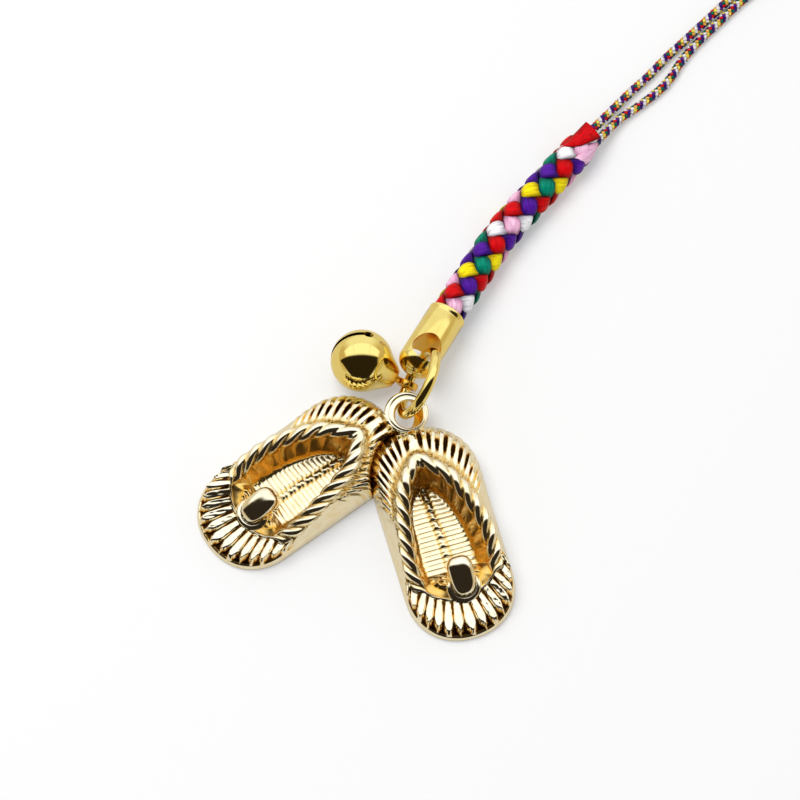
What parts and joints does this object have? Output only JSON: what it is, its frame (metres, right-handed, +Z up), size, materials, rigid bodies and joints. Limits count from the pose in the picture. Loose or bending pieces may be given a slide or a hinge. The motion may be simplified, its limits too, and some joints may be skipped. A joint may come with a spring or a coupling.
{
  "type": "amulet strap",
  "caption": "Charm strap with a thin cord loop, a thick round braid in a metal end cap, and a jump ring that carries a small round bell and a cast pair of straw sandals.",
  "frame": {"origin": "middle of the flat sole of the right-hand sandal, on the table", "axes": "+Z up, +X to the viewer's right, +Y away from the viewer"},
  "size_m": [0.0928, 0.1058, 0.0097],
  "materials": {
    "thin_cord": "thin round braid of coloured and pale thread",
    "braid": "glossy satin strands in red, purple, green, yellow, white and pink",
    "yellow_gold": "polished yellow gold plate",
    "bell_gold": "polished yellow gold plate",
    "pellet_steel": "plain steel ball",
    "pale_gold": "bright pale gold plate on a casting"
  },
  "bodies": {
    "strap": {"loop_cord": "thin_cord", "braid_cord": "braid", "end_cap": "yellow_gold"},
    "ring": {"jump_ring": "yellow_gold"},
    "bell": {"bell_body": "bell_gold", "bell_loop": "bell_gold"},
    "pellet": {"bell_pellet": "pellet_steel"},
    "charm": {"sandal_charm": "pale_gold"}
  },
  "joints": [
    {"name": "ring_swing", "type": "hinge", "parent": "strap", "child": "ring", "pos_m": [-0.00205, 0.02234, 0.00443], "axis": [0, 0, 1], "range_deg": [-25, 14]},
    {"name": "bell_swing", "type": "hinge", "parent": "ring", "child": "bell", "pos_m": [-0.00435, 0.01953, 0.00145], "axis": [0.3715, 0.9148, 0.1586], "range_deg": [-30, 8]},
    {"name": "pellet_roll", "type": "hinge", "parent": "bell", "child": "pellet", "pos_m": [-0.01003, 0.02177, 0.00397], "axis": [0.8596, -0.3386, -0.3827], "continuous": true},
    {"name": "charm_swing", "type": "hinge", "parent": "ring", "child": "charm", "pos_m": [-0.00484, 0.01493, 0.0036], "axis": [0, 0, 1], "range_deg": [-4, 70]}
  ]
}
